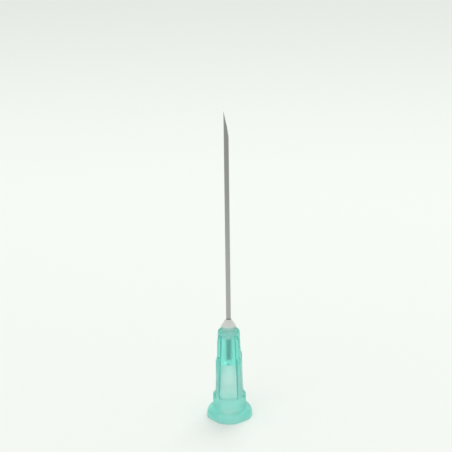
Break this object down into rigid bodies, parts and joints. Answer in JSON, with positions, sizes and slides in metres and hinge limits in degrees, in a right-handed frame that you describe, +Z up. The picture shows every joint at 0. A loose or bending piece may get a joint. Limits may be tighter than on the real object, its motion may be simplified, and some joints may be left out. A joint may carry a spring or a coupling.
{
  "type": "hypodermic needle",
  "caption": "Hypodermic needle: lancet-point steel cannula bonded into a translucent green Luer-lock hub, standing on its base.",
  "frame": {"origin": "centre of the hub's flat base, on the needle's axis", "axes": "+Z up along the cannula towards the point, +X the side that the bevel faces, +Y away from the front view"},
  "size_m": [0.0078, 0.0078, 0.056],
  "materials": {
    "translucent_green_polypropylene": "semi-clear tinted polypropylene, moulded, softly glossy",
    "ground_stainless_steel": "drawn and polished stainless tube with ground bevel facets",
    "whitish_adhesive": "cured whitish translucent adhesive with a smooth skin"
  },
  "bodies": {
    "root": {"hub": "translucent_green_polypropylene", "cannula": "ground_stainless_steel", "adhesive_bead": "whitish_adhesive"}
  },
  "joints": []
}
